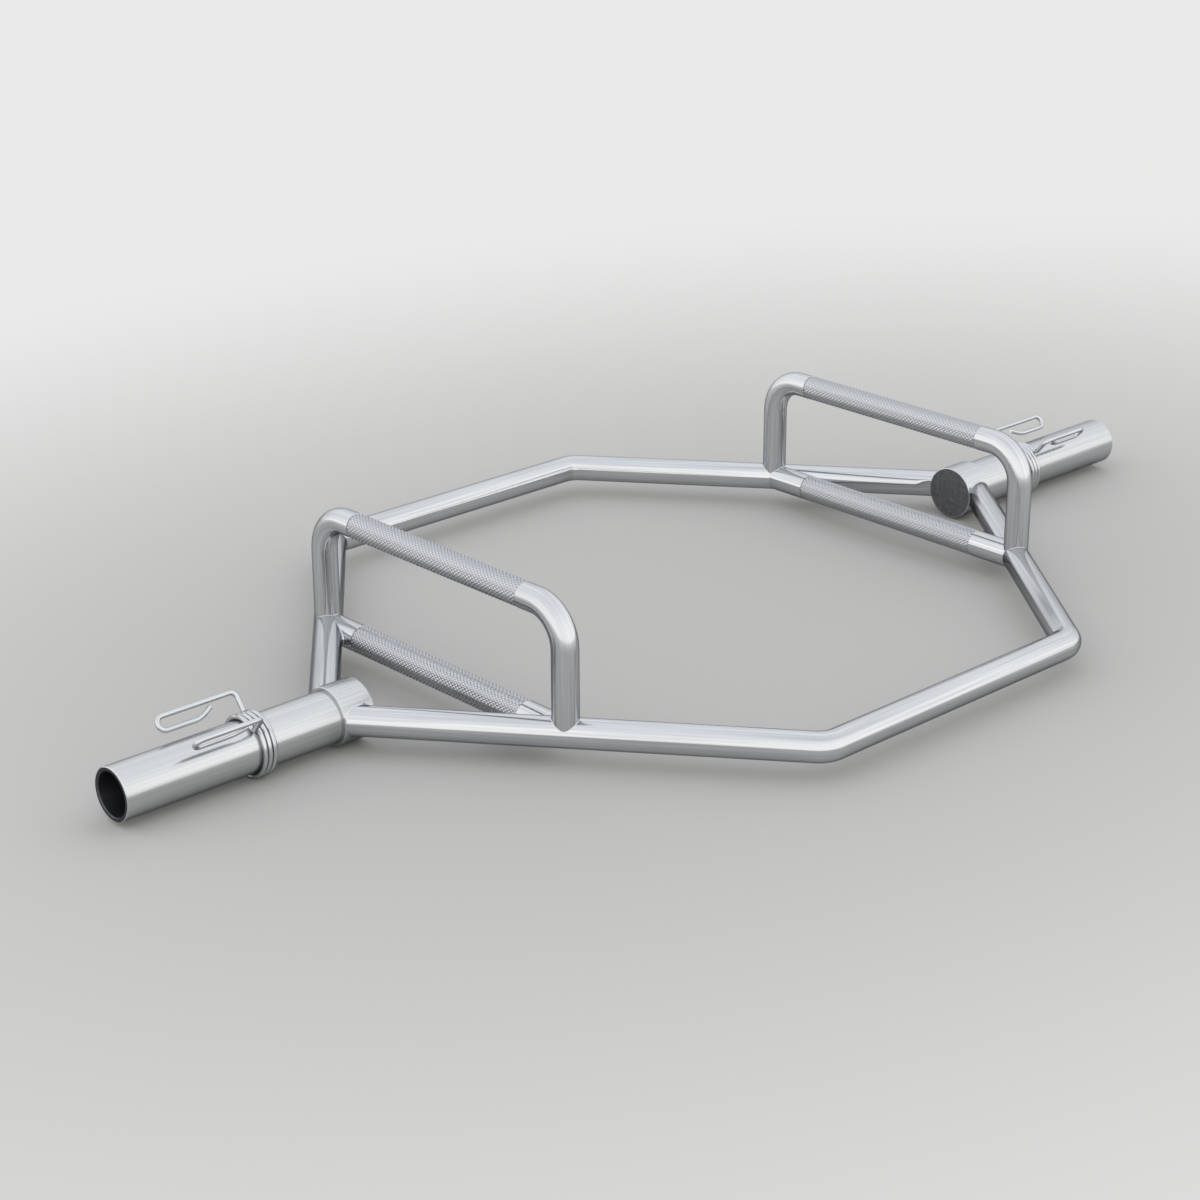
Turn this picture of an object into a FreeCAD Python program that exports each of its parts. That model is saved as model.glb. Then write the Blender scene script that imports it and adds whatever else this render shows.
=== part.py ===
import FreeCAD, Part
import math
import os
import Sketcher

# Hex trap bar: a six-sided tube frame that the lifter stands inside, with a plate sleeve at each end,
# a low and a high handle at each side, and a sprung wire clip on each sleeve.
# Millimetres. X runs along the bar from sleeve to sleeve, Y along the handles, Z up.
# The origin is under the middle of the bar, on the surface that it lies on.
# Only the left (-X) side and the front (-Y) tube are drawn; the others are mirrored from them.

SIZES = (
    ("hub_face", 449.5, "middle of the bar to the outer face of a hub"),
    ("loading_length", 228.0, "bare sleeve between a hub and the end of the bar"),
    ("sleeve_od", 50.0, "outside of a sleeve, for plates with a two inch hole"),
    ("sleeve_wall", 4.4, "wall of a sleeve"),
    ("sleeve_chamfer", 1.0, "broken edges at the open end of a sleeve"),
    ("hub_wall", 3.25, "wall of a hub, which fits over the inner end of its sleeve"),
    ("hub_length", 34.5, "length of a hub with its end cap"),
    ("hub_chamfer", 0.6, "broken edge on the outer face of a hub"),
    ("cap_thickness", 3.0, "plate that closes the inner end of a hub"),
    ("cap_round", 1.0, "rounded rim of that plate"),
    ("frame_od", 28.6, "outside of the two frame tubes"),
    ("frame_wall", 3.0, "wall of the frame tubes"),
    ("landing", 19.0, "outer face of a hub to where a frame tube's axis enters its side"),
    ("corner_x", 170.0, "corner of the hexagon, along the bar"),
    ("corner_y", 353.0, "corner of the hexagon, across the bar"),
    ("corner_bend", 24.0, "bend radius of the frame tubes, on their centre line"),
    ("handle_spacing", 630.0, "left handles to right handles, on their centre lines"),
    ("high_od", 25.4, "outside of a high handle"),
    ("high_wall", 3.0, "wall of a high handle"),
    ("high_rise", 116.3, "frame to the grip of a high handle, on their centre lines"),
    ("high_bend", 37.0, "bend radius of a high handle, on its centre line"),
    ("low_od", 27.5, "outside of a low handle"),
    ("low_wall", 3.0, "wall of a low handle"),
    ("weld_leg", 2.5, "leg of the welds round the tube ends"),
    ("wire_dia", 4.7, "wire of a clip"),
    ("clip_clearance", 0.3, "room between the coil of a clip and its sleeve"),
    ("coil_flat", 0.5, "depth of the flat under a coil, which the bar lies on"),
    ("clip_offset", 75.0, "outer face of a hub to the first turn of its clip"),
    ("coil_pitch", 5.15, "step of the coil in one turn"),
    ("coil_turns", 3.0, "whole turns of the coil"),
    ("end_bend", 5.0, "radius where the coil turns outwards into an arm"),
    ("arm_spread", 80.0, "degrees between the two arms of a clip"),
    ("arm_rise", 22.5, "coil to the outer run of an arm, on their centre lines"),
    ("arm_reach", 67.2, "last turn of the coil to the tip of the arms"),
    ("arm_bend", 6.0, "radius of the corner of an arm"),
    ("hairpin", 13.4, "outer run to inner run of an arm, on their centre lines"),
    ("return_run", 27.6, "straight inner run of an arm"),
    ("flick_bend", 28.0, "radius of the bend that turns the end of the wire up"),
    ("flick_angle", 28.0, "degrees that the end of the wire is turned up"),
    ("flick_length", 8.0, "straight end of the wire"),
)

doc = FreeCAD.newDocument("hex_trap_bar")
sheet = doc.addObject("Spreadsheet::Sheet", "sizes")
for row, (alias, value, note) in enumerate(SIZES, start=1):
    sheet.set(f"A{row}", str(value))
    sheet.setAlias(f"A{row}", alias)
    sheet.set(f"B{row}", note)
doc.recompute()


def size(alias):
    """A driving size as a number."""
    return float(sheet.get(alias))


# Sizes that follow from the sheet, as expressions for the document.
SLEEVE_R = "(sizes.sleeve_od / 2)"
HUB_R = "(sizes.sleeve_od / 2 + sizes.hub_wall)"
HUB_INNER = "(sizes.hub_face - sizes.hub_length)"
BAR_END = "(sizes.hub_face + sizes.loading_length)"
COIL_R = "(sizes.sleeve_od / 2 + sizes.clip_clearance + sizes.wire_dia / 2)"
AXIS_Z = f"({COIL_R} + sizes.wire_dia / 2 - sizes.coil_flat)"
# The frame tubes run straight from the corners to the hubs, and their axes meet on the bar's axis.
RUN_SLOPE = f"((sizes.hub_face - sizes.landing - sizes.corner_x) / (sizes.corner_y - {HUB_R}))"
APEX_X = f"(sizes.hub_face - sizes.landing + {HUB_R} * {RUN_SLOPE})"
HANDLE_X = "(sizes.handle_spacing / 2)"
FOOT_Y = f"(({APEX_X} - {HANDLE_X}) / {RUN_SLOPE})"
# A clip: its arms leave the coil at the inner and at the outer end.
COIL_LENGTH = "(sizes.coil_pitch * (sizes.coil_turns + sizes.arm_spread / 360))"
REAR_ARM_X = "(sizes.hub_face + sizes.clip_offset)"
FRONT_ARM_X = f"({REAR_ARM_X} + {COIL_LENGTH})"
ARM_TIP_X = f"({FRONT_ARM_X} + sizes.arm_reach)"
ARM_FOOT_R = f"(sqrt({COIL_R} ^ 2 + 2 * {COIL_R} * sizes.end_bend) + sizes.wire_dia)"
ARM_RUN_R = f"({COIL_R} + sizes.arm_rise)"


def value_of(expression):
    """The number that an expression of the sheet stands for."""
    return float(sheet.evalExpression(expression))


X_AXIS = FreeCAD.Vector(1, 0, 0)
Y_AXIS = FreeCAD.Vector(0, 1, 0)
Z_AXIS = FreeCAD.Vector(0, 0, 1)
# The sketcher's own numbers for a sketch's axes and origin, and for the points of a line, arc or circle.
H_AXIS, V_AXIS = range(-1, -3, -1)
START, END, CENTRE = range(1, 4)
ORIGIN = (H_AXIS, START)


def new_body(name):
    """An empty body on the bar's axis."""
    body = doc.addObject("PartDesign::Body", name)
    body.setExpression("Placement.Base.z", AXIS_Z)
    return body


def plane_of(body, role):
    return next(plane for plane in body.Origin.OriginFeatures if plane.Role == role)


def new_sketch(body, name, role):
    sketch = body.newObject("Sketcher::SketchObject", name)
    sketch.AttachmentSupport = (plane_of(body, role), "")
    sketch.MapMode = "FlatFace"
    return sketch


def limit(sketch, kind, *where):
    """Add a constraint without a size."""
    sketch.addConstraint(Sketcher.Constraint(kind, *where))


def dimension(sketch, kind, expression, *where, unit=1.0):
    """Add a constraint whose size is bound to the sheet."""
    index = sketch.addConstraint(Sketcher.Constraint(kind, *where, value_of(expression) * unit))
    sketch.setExpression(f"Constraints[{index}]", expression)


def add_circle(sketch, radius, across=None, up=None):
    """A circle in a sketch, at the sketch's origin or at a bound place."""
    place = FreeCAD.Vector(value_of(across or "0"), value_of(up or "0"), 0)
    index = sketch.addGeometry(Part.Circle(place, Z_AXIS, value_of(radius)))
    dimension(sketch, "Radius", radius, index)
    for kind, offset, line in (("DistanceX", across, V_AXIS), ("DistanceY", up, H_AXIS)):
        if offset is None:
            limit(sketch, "PointOnObject", index, CENTRE, line)
        else:
            dimension(sketch, kind, offset, *ORIGIN, index, CENTRE)


def ring_along_x(name, start, length, outer, inner=None):
    """A round bar or tube along X, from -start towards the middle of the bar."""
    body = new_body(name)
    section = new_sketch(body, name + "_section", "YZ_Plane")
    section.setExpression("AttachmentOffset.Base.z", f"-{start}")
    add_circle(section, outer)
    if inner is not None:
        add_circle(section, inner)
    pad = body.newObject("PartDesign::Pad", name + "_pad")
    pad.Profile = section
    pad.setExpression("Length", length)
    doc.recompute()
    return body


def dress(body, kind, amount, x, least_radius="0"):
    """Chamfer or fillet the round edges of a body that lie at x, from a given radius up."""
    base = body.Tip
    least = value_of(least_radius) - 0.001
    names = []
    for number, edge in enumerate(base.Shape.Edges, start=1):
        box = edge.BoundBox
        if abs(box.XMin - x) < 0.001 and abs(box.XMax - x) < 0.001 and edge.Curve.Radius > least:
            names.append(f"Edge{number}")
    feature = body.newObject("PartDesign::" + kind, body.Name + "_" + kind.lower())
    feature.Base = (base, names)
    feature.setExpression("Size" if kind == "Chamfer" else "Radius", amount)
    body.Tip = feature
    doc.recompute()


def sweep(body, section, path):
    """Sweep a section sketch along a path sketch."""
    pipe = body.newObject("PartDesign::AdditivePipe", body.Name + "_pipe")
    pipe.Profile = section
    pipe.Spine = path
    doc.recompute()
    return pipe


def mirror_in_body(body, pipe, role):
    """Double a half piece in its own body."""
    doubled = body.newObject("PartDesign::Mirrored", body.Name + "_both")
    doubled.Originals = [pipe]
    doubled.MirrorPlane = (plane_of(body, role), [""])
    body.Tip = doubled
    doc.recompute()


def frame_bar(name, radius):
    """A round bar along the front half of the hexagon: one long side, two corners and two slanted ends."""
    body = new_body(name)
    path = new_sketch(body, name + "_path", "XY_Plane")
    corner_x = size("corner_x")
    corner_y = size("corner_y")
    bend = size("corner_bend")
    apex = value_of(APEX_X)
    turn = math.atan2(corner_y, apex - corner_x)
    tangent = bend * math.tan(turn / 2)
    bend_start = FreeCAD.Vector(tangent - corner_x, -corner_y, 0)
    bend_middle = bend_start + FreeCAD.Vector(0, bend, 0)
    bend_end = bend_middle + FreeCAD.Vector(-math.sin(turn), -math.cos(turn), 0) * bend
    side = path.addGeometry(Part.LineSegment(FreeCAD.Vector(0, -corner_y, 0), bend_start))
    quarter = math.pi / 2
    circle = Part.Circle(bend_middle, Z_AXIS, bend)
    corner = path.addGeometry(Part.ArcOfCircle(circle, 3 * quarter - turn, 3 * quarter))
    slant = path.addGeometry(Part.LineSegment(bend_end, FreeCAD.Vector(-apex, 0, 0)))
    crossing = path.addGeometry(Part.Point(FreeCAD.Vector(-corner_x, -corner_y, 0)))
    path.toggleConstruction(crossing)
    limit(path, "PointOnObject", side, START, V_AXIS)
    limit(path, "Horizontal", side)
    limit(path, "Tangent", side, END, corner, END)
    limit(path, "Tangent", corner, START, slant, START)
    limit(path, "PointOnObject", slant, END, H_AXIS)
    limit(path, "PointOnObject", crossing, START, side)
    limit(path, "PointOnObject", crossing, START, slant)
    dimension(path, "DistanceX", APEX_X, slant, END, *ORIGIN)
    dimension(path, "DistanceX", "sizes.corner_x", crossing, START, *ORIGIN)
    dimension(path, "DistanceY", "sizes.corner_y", crossing, START, *ORIGIN)
    dimension(path, "Radius", "sizes.corner_bend", corner)
    section = new_sketch(body, name + "_section", "YZ_Plane")
    add_circle(section, radius, across="-sizes.corner_y")
    pipe = sweep(body, section, path)
    mirror_in_body(body, pipe, "YZ_Plane")
    return body


def high_bar(name, radius):
    """A round bar along a high handle: the grip, two bends and two posts down to the frame's level."""
    body = new_body(name)
    body.setExpression("Placement.Base.x", "-" + HANDLE_X)
    path = new_sketch(body, name + "_path", "YZ_Plane")
    foot = value_of(FOOT_Y)
    rise = size("high_rise")
    bend = size("high_bend")
    bend_start = FreeCAD.Vector(bend - foot, rise, 0)
    bend_end = FreeCAD.Vector(-foot, rise - bend, 0)
    circle = Part.Circle(FreeCAD.Vector(bend - foot, rise - bend, 0), Z_AXIS, bend)
    grip = path.addGeometry(Part.LineSegment(FreeCAD.Vector(0, rise, 0), bend_start))
    corner = path.addGeometry(Part.ArcOfCircle(circle, math.pi / 2, math.pi))
    post = path.addGeometry(Part.LineSegment(bend_end, FreeCAD.Vector(-foot, 0, 0)))
    limit(path, "PointOnObject", grip, START, V_AXIS)
    limit(path, "Horizontal", grip)
    limit(path, "Tangent", grip, END, corner, START)
    limit(path, "Tangent", corner, END, post, START)
    limit(path, "Vertical", post)
    limit(path, "PointOnObject", post, END, H_AXIS)
    dimension(path, "DistanceY", "sizes.high_rise", *ORIGIN, grip, START)
    dimension(path, "DistanceX", FOOT_Y, post, END, *ORIGIN)
    dimension(path, "Radius", "sizes.high_bend", corner)
    section = new_sketch(body, name + "_section", "XZ_Plane")
    add_circle(section, radius, up="sizes.high_rise")
    pipe = sweep(body, section, path)
    mirror_in_body(body, pipe, "XZ_Plane")
    return body


def low_bar(name, radius):
    """A round bar along a low handle, from one slanted tube's axis to the other's."""
    body = new_body(name)
    body.setExpression("Placement.Base.x", "-" + HANDLE_X)
    section = new_sketch(body, name + "_section", "XZ_Plane")
    add_circle(section, radius)
    pad = body.newObject("PartDesign::Pad", name + "_pad")
    pad.Profile = section
    pad.SideType = "Symmetric"
    pad.setExpression("Length", "2 * " + FOOT_Y)
    doc.recompute()
    return body


def clip_arm(name, foot_x, side):
    """One arm of the left clip: up from the coil, out along the sleeve, back in a hairpin, end turned up."""
    body = new_body(name)
    tilt = FreeCAD.Rotation(X_AXIS * side, size("arm_spread") / 2)
    body.Placement = FreeCAD.Placement(FreeCAD.Vector(), tilt)
    body.setExpression("Placement.Base.z", AXIS_Z)
    body.setExpression("Placement.Rotation.Angle", "sizes.arm_spread / 2")
    path = new_sketch(body, name + "_path", "XZ_Plane")
    x = -value_of(foot_x)
    foot = value_of(ARM_FOOT_R)
    top = value_of(ARM_RUN_R)
    bend = size("arm_bend")
    loop = size("hairpin") / 2
    loop_x = loop - value_of(ARM_TIP_X)
    low = top - 2 * loop
    back_x = loop_x + size("return_run")
    flick = math.radians(size("flick_angle"))
    sweep_r = size("flick_bend")
    quarter = math.pi / 2
    flick_x = back_x + sweep_r * math.sin(flick)
    flick_z = low + sweep_r * (1 - math.cos(flick))
    end_x = flick_x + size("flick_length") * math.cos(flick)
    end_z = flick_z + size("flick_length") * math.sin(flick)

    def line(x0, z0, x1, z1):
        return path.addGeometry(Part.LineSegment(FreeCAD.Vector(x0, z0, 0), FreeCAD.Vector(x1, z1, 0)))

    def arc(x0, z0, radius, first, last):
        circle = Part.Circle(FreeCAD.Vector(x0, z0, 0), Z_AXIS, radius)
        return path.addGeometry(Part.ArcOfCircle(circle, first, last))

    leg = line(x, foot, x, top - bend)
    elbow = arc(x - bend, top - bend, bend, 0, quarter)
    run = line(x - bend, top, loop_x, top)
    turn = arc(loop_x, top - loop, loop, quarter, 3 * quarter)
    back = line(loop_x, low, back_x, low)
    curl = arc(back_x, low + sweep_r, sweep_r, 3 * quarter, 3 * quarter + flick)
    tail = line(flick_x, flick_z, end_x, end_z)
    pieces = (leg, elbow, run, turn, back, curl, tail)
    for first, second in zip(pieces, pieces[1:]):
        limit(path, "Tangent", first, END, second, START)
    limit(path, "Vertical", leg)
    limit(path, "Horizontal", run)
    limit(path, "Horizontal", back)
    dimension(path, "DistanceX", foot_x, leg, START, *ORIGIN)
    dimension(path, "DistanceY", ARM_FOOT_R, *ORIGIN, leg, START)
    dimension(path, "DistanceY", ARM_RUN_R, *ORIGIN, run, START)
    dimension(path, "Radius", "sizes.arm_bend", elbow)
    dimension(path, "Radius", "sizes.hairpin / 2", turn)
    dimension(path, "Radius", "sizes.flick_bend", curl)
    dimension(path, "DistanceX", f"{ARM_TIP_X} - sizes.hairpin / 2", turn, CENTRE, *ORIGIN)
    dimension(path, "DistanceX", "sizes.return_run", back, START, back, END)
    dimension(path, "Distance", "sizes.flick_length", tail)
    dimension(path, "Angle", "sizes.flick_angle", tail, unit=math.pi / 180)
    section = new_sketch(body, name + "_section", "XY_Plane")
    section.setExpression("AttachmentOffset.Base.z", ARM_FOOT_R)
    add_circle(section, "sizes.wire_dia / 2", across="-" + foot_x)
    sweep(body, section, path)
    return body


def biarc(start, start_dir, end, end_dir):
    """Two arcs that join two points smoothly, leaving and arriving along the given directions."""
    chord = end - start
    both = start_dir + end_dir
    square = 2 * (start_dir.dot(end_dir) - 1)
    across = -2 * chord.dot(both)
    root = math.sqrt(across ** 2 - 4 * square * chord.dot(chord))
    reach = max((-across - root) / (2 * square), (-across + root) / (2 * square))
    first_knee = start + start_dir * reach
    second_knee = end - end_dir * reach
    joint = (first_knee + second_knee) / 2
    edges = []
    for a, knee, b in ((start, first_knee, joint), (joint, second_knee, end)):
        middle = (a + b) / 2
        weight = (b - a).Length / (2 * reach)
        crest = middle + (knee - middle) * (weight / (1 + weight))
        edges.append(Part.Arc(a, crest, b).toShape())
    return edges


def coil_path():
    """The left clip's coil: a straight stub, a bend, the turns, a bend and a straight stub."""
    radius = value_of(COIL_R)
    bend = size("end_bend")
    wire = size("wire_dia")
    first_x = -value_of(REAR_ARM_X)
    last_x = -value_of(FRONT_ARM_X)
    half_spread = math.radians(size("arm_spread")) / 2
    lead = math.asin(bend / (radius + bend))
    stub = math.sqrt(radius ** 2 + 2 * radius * bend)
    first = math.pi / 2 - half_spread + lead
    wound = 2 * math.pi * size("coil_turns") + 2 * (half_spread - lead)
    axis_z = value_of(AXIS_Z)

    def radial(angle):
        return FreeCAD.Vector(0, math.cos(angle), math.sin(angle))

    def on_coil(share):
        angle = first + wound * share
        place = FreeCAD.Vector(first_x + (last_x - first_x) * share, 0, axis_z) + radial(angle) * radius
        along = FreeCAD.Vector(last_x - first_x, 0, 0) + radial(angle + math.pi / 2) * (radius * wound)
        return place, along.normalize()

    def on_arm(x, angle, distance):
        return FreeCAD.Vector(x, 0, axis_z) + radial(angle) * distance

    rear = math.pi / 2 - half_spread
    front = math.pi / 2 + half_spread
    rear_knee = on_arm(first_x, rear, stub)
    front_knee = on_arm(last_x, front, stub)
    pieces = max(1, round(wound / (math.pi / 2)))
    edges = [Part.LineSegment(on_arm(first_x, rear, stub + wire), rear_knee).toShape()]
    edges += biarc(rear_knee, radial(rear) * -1, *on_coil(0))
    for piece in range(pieces):
        edges += biarc(*on_coil(piece / pieces), *on_coil((piece + 1) / pieces))
    edges += biarc(*on_coil(1), front_knee, radial(front))
    edges.append(Part.LineSegment(front_knee, on_arm(last_x, front, stub + wire)).toShape())
    return edges


def clip_coil(name):
    """The left clip's coil as one unbroken wire, flat underneath where the bar lies on it."""
    edges = coil_path()
    path = Part.Wire(edges)
    wire = size("wire_dia")
    start = edges[0].valueAt(edges[0].FirstParameter)
    along = edges[0].tangentAt(edges[0].FirstParameter)
    section = Part.Wire(Part.makeCircle(wire / 2, start, along))
    shell = Part.BRepOffsetAPI.MakePipeShell(path)
    shell.add(section)
    shell.build()
    shell.makeSolid()
    wound = doc.addObject("Part::Feature", name + "_wound")
    wound.Shape = shell.shape()
    report_coil(edges, wound.Shape, wire)
    ground = doc.addObject("Part::Box", name + "_ground")
    ground.setExpression("Length", f"{COIL_LENGTH} + 2 * sizes.wire_dia")
    ground.setExpression("Width", f"2 * {COIL_R}")
    ground.setExpression("Height", "sizes.wire_dia")
    ground.setExpression("Placement.Base.x", f"-{FRONT_ARM_X} - sizes.wire_dia")
    ground.setExpression("Placement.Base.y", f"-{COIL_R}")
    ground.setExpression("Placement.Base.z", "-sizes.wire_dia")
    return cut(name, wound, ground)


def report_coil(edges, shape, wire):
    """Print the wire's length, volume, tightest bend and the least gap from turn to turn."""
    points = []
    stations = []
    travelled = 0.0
    for edge in edges:
        steps = max(2, int(edge.Length))
        first = edge.FirstParameter
        span = edge.LastParameter - first
        for step in range(steps):
            points.append(edge.valueAt(first + span * step / steps))
            stations.append(travelled + edge.Length * step / steps)
        travelled += edge.Length
    far_enough = 4 * wire
    gap = min(
        (points[i] - points[j]).Length
        for i in range(len(points))
        for j in range(i)
        if stations[i] - stations[j] > far_enough
    ) - wire
    bends = [edge.Curve.Radius for edge in edges if hasattr(edge.Curve, "Radius")]
    expected = math.pi * wire ** 2 / 4 * travelled
    print(f"coil: wire {travelled:.1f} mm, volume {shape.Volume:.0f} for {expected:.0f} mm3,"
          f" tightest bend {min(bends):.2f} mm, least gap {gap:.2f} mm")


def cut(name, base, *tools):
    """Take one or more shapes away from another."""
    for number, tool in enumerate(tools, start=1):
        last = number == len(tools)
        piece = doc.addObject("Part::Cut", name if last else f"{name}_step{number}")
        piece.Base = base
        piece.Tool = tool
        base = piece
    doc.recompute()
    return base


def fuse(name, *shapes):
    joined = doc.addObject("Part::MultiFuse", name)
    joined.Shapes = list(shapes)
    doc.recompute()
    return joined


def common(name, base, tool):
    shared = doc.addObject("Part::Common", name)
    shared.Base = base
    shared.Tool = tool
    doc.recompute()
    return shared


def mirror(name, source, normal):
    other = doc.addObject("Part::Mirroring", name)
    other.Source = source
    other.Normal = normal
    doc.recompute()
    return other


def half_of(diameter, extra="0"):
    return f"(sizes.{diameter} / 2 + {extra})"


# Sleeve, hub and end cap. The hub and the sleeve butt against the cap.
CAP_FACE = f"({HUB_INNER} + sizes.cap_thickness)"
SLEEVE_BORE = f"({SLEEVE_R} - sizes.sleeve_wall)"
sleeve = ring_along_x("left_sleeve", BAR_END, f"{BAR_END} - {CAP_FACE}", SLEEVE_R, SLEEVE_BORE)
dress(sleeve, "Chamfer", "sizes.sleeve_chamfer", -value_of(BAR_END))
hub = ring_along_x("left_hub", "sizes.hub_face", f"sizes.hub_face - {CAP_FACE}", HUB_R, SLEEVE_R)
dress(hub, "Chamfer", "sizes.hub_chamfer", -size("hub_face"), HUB_R)
cap = ring_along_x("left_hub_cap", CAP_FACE, "sizes.cap_thickness", HUB_R)
dress(cap, "Fillet", "sizes.cap_round", -value_of(HUB_INNER))
hub_line = ring_along_x("hub_line", BAR_END, f"2 * {BAR_END}", HUB_R)

# Frame tubes: their slanted ends are coped to the sides of the hubs.
front_skin = frame_bar("front_skin", half_of("frame_od"))
front_bore = frame_bar("front_bore", half_of("frame_od", "-sizes.frame_wall"))
rear_skin = mirror("rear_skin", front_skin, Y_AXIS)
front_tube = cut("front_frame_tube", front_skin, front_bore, hub_line)
rear_tube = mirror("rear_frame_tube", front_tube, Y_AXIS)

# Handles: both are coped to the slanted tubes, and the posts of the high one also to the low one.
low_skin = low_bar("low_skin", half_of("low_od"))
low_bore = low_bar("low_bore", half_of("low_od", "-sizes.low_wall"))
low_handle = cut("left_low_handle", low_skin, low_bore, front_skin, rear_skin)
high_skin = high_bar("high_skin", half_of("high_od"))
high_bore = high_bar("high_bore", half_of("high_od", "-sizes.high_wall"))
high_handle = cut("left_high_handle", high_skin, high_bore, front_skin, rear_skin, low_skin)

# Welds: each fills the notch between two tubes, as far as its leg reaches on both.
LEG = "sizes.weld_leg"
front_fat = frame_bar("front_fat", half_of("frame_od", LEG))
rear_fat = mirror("rear_fat", front_fat, Y_AXIS)
frame_fat = fuse("frame_fat", front_fat, rear_fat)
hub_fat = ring_along_x("hub_fat", "sizes.hub_face", "sizes.hub_length", f"{HUB_R} + {LEG}")
hub_weld = cut("left_hub_welds", common("hub_notch", hub_fat, frame_fat), hub_line, front_skin, rear_skin)
low_fat = low_bar("low_fat", half_of("low_od", LEG))
low_notch = common("low_notch", low_fat, frame_fat)
low_weld = cut("left_low_handle_welds", low_notch, low_skin, front_skin, rear_skin, high_skin)
high_fat = high_bar("high_fat", half_of("high_od", LEG))
seat_fat = fuse("seat_fat", front_fat, rear_fat, low_fat)
high_notch = common("high_notch", high_fat, seat_fat)
high_weld = cut("left_high_handle_welds", high_notch, high_skin, front_skin, rear_skin, low_skin, low_weld)

# Clip: a coil on the sleeve and two arms to squeeze.
coil = clip_coil("left_clip_coil")
rear_arm = clip_arm("left_clip_rear_arm", REAR_ARM_X, -1)
front_arm = clip_arm("left_clip_front_arm", FRONT_ARM_X, 1)

nodes = [front_tube, rear_tube]
left_welded = (sleeve, hub, cap, low_handle, high_handle, hub_weld, low_weld, high_weld)
left_clip = (coil, rear_arm, front_arm)
for piece in left_welded + left_clip:
    nodes += [piece, mirror(piece.Label.replace("left", "right"), piece, X_AXIS)]

doc.recompute()
for item in doc.Objects:
    if "Invalid" in item.State or "Error" in item.State:
        raise RuntimeError(f"{item.Label} failed: {item.State}")
for node in nodes:
    if node.Shape.isNull() or not node.Shape.isValid() or not node.Shape.Solids:
        raise RuntimeError(f"{node.Label} has no valid solid")

os.makedirs("parts", exist_ok=True)
for node in nodes:
    node.Shape.exportStep(f"parts/{node.Label}.step")
    box = node.Shape.optimalBoundingBox()
    low = f"{box.XMin:.1f} {box.YMin:.1f} {box.ZMin:.1f}"
    high = f"{box.XMax:.1f} {box.YMax:.1f} {box.ZMax:.1f}"
    print(f"{node.Label}: {len(node.Shape.Solids)} solid, {node.Shape.Volume:.0f} mm3, {low} to {high}")
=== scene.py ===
# %% [markdown]
# # A hex trap bar in chrome-plated steel
# The bar is a hexagon of bent tube that the lifter stands inside. A sleeve for weight plates is welded on at
# each end through a short hub, each side has a low and a raised grip, and a sprung wire clip sits on each
# sleeve. The solids arrive ready-made and fix where everything is. What is left for Blender is the finish:
# the plated tubes with their smooth joints, the knurling that the hands feel, the springs, and the light
# that shows them.

# %% Load the model
import math

import bmesh
import bpy
import numpy as np
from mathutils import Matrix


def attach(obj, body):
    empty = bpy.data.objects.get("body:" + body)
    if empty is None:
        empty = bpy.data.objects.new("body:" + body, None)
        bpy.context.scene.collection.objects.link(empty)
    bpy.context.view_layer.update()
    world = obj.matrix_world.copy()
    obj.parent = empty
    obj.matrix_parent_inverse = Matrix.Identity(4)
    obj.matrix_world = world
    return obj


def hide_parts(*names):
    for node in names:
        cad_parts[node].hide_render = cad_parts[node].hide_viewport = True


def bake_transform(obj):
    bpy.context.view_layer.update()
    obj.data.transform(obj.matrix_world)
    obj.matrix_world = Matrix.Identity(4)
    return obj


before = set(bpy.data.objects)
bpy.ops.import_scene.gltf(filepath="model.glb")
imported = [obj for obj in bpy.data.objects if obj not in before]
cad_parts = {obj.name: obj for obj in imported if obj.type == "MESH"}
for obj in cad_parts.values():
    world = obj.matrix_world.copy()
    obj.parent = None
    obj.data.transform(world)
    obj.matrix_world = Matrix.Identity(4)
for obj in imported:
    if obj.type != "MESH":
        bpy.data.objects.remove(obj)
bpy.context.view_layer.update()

# %% [markdown]
# ## Colours and nodes
# A colour is easiest to read as the sRGB hex value that a picture editor shows. Shaders calculate in linear
# light, so one function converts. A second one adds a shader node together with its settings and its links.


# %% Two helpers for materials
def linear(hex_colour):
    """An sRGB hex value as a linear colour with alpha."""
    channels = [int(hex_colour[i:i + 2], 16) / 255 for i in (1, 3, 5)]
    return tuple(c / 12.92 if c <= 0.04045 else ((c + 0.055) / 1.055) ** 2.4 for c in channels) + (1.0,)


def add_node(tree, kind, inputs=None, **settings):
    """Add a node. Each input is a plain value, or another node's output to link to it."""
    node = tree.nodes.new(kind)
    for name, value in settings.items():
        setattr(node, name, value)
    for name, value in (inputs or {}).items():
        if isinstance(value, bpy.types.NodeSocket):
            tree.links.new(value, node.inputs[name])
        else:
            node.inputs[name].default_value = value
    return node


print("the grey #808080 is", round(linear("#808080")[0], 3), "in linear light")

# %% [markdown]
# ## Chrome plate
# Decorative chrome is a very thin hard layer over polished nickel on steel. It takes the finish of the metal
# under it: the drawn tubes of the frame were polished, so they mirror the room sharply, while the turned
# sleeves were only brushed and blur it. The polishing belt ran round the tube, so a highlight is drawn out
# along it, and drawing the tube has left faint streaks along its length. Chrome reflects a little over half
# the light, and less at a slant, which draws a dark edge round each tube: that is the edge tint. A plain
# mirror would be simpler, but it would look like glass, so one function adds the streaks and the marks of
# handling, and every smooth finish of the bar is made with it.

# %% A function for plated steel
# How far a highlight is drawn out: 0 leaves it round.
SHEEN_STRETCH = 0.65
EDGE_TINT = "#A4A6AA"
# Noise keeps near its middle value, so that middle is spread over the whole range.
NOISE_MIDDLE = {"From Min": 0.3, "From Max": 0.7}
# Handling leaves broad, faint patches in the shine, about 40 mm across.
PATCH_MM = 40.0
PATCH_DULL, PATCH_BRIGHT = 1.08, 0.92
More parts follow.
